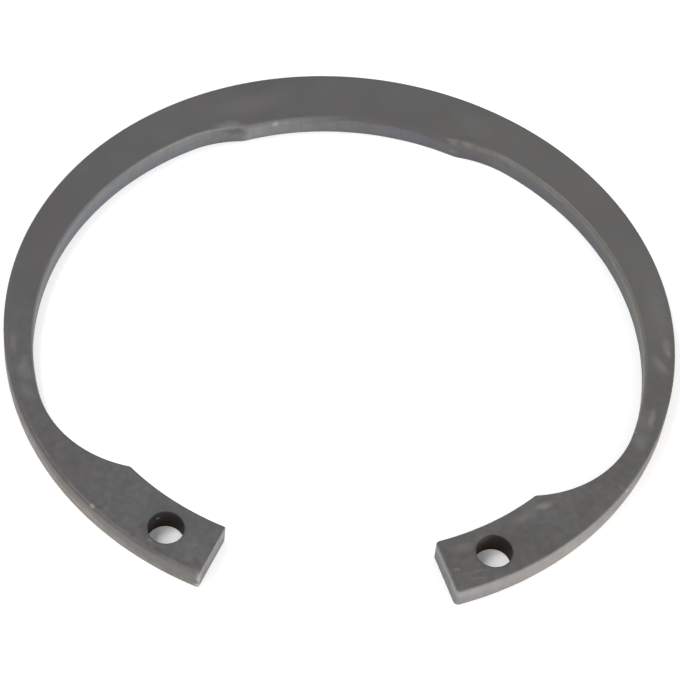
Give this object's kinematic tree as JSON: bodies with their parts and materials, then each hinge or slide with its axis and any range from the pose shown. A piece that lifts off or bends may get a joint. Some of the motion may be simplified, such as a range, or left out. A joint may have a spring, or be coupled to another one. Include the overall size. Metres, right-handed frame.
{
  "type": "circlip retaining ring",
  "caption": "Internal retaining ring: a flat open ring of dark spring steel with slimmer sides and a plier hole in each lug.",
  "frame": {"origin": "on the ring's axis, at its underside", "axes": "+Z along the ring's axis, from the sharp-edged underside to the top face with the rounder edges; +Y towards the back of the ring, so that the gap between the lugs opens towards -Y"},
  "size_m": [0.0504, 0.0488, 0.0018],
  "materials": {
    "phosphated_spring_steel": "hardened spring steel, phosphated and oiled to a satin dark grey"
  },
  "bodies": {
    "root": {"retaining_ring": "phosphated_spring_steel"}
  },
  "joints": []
}
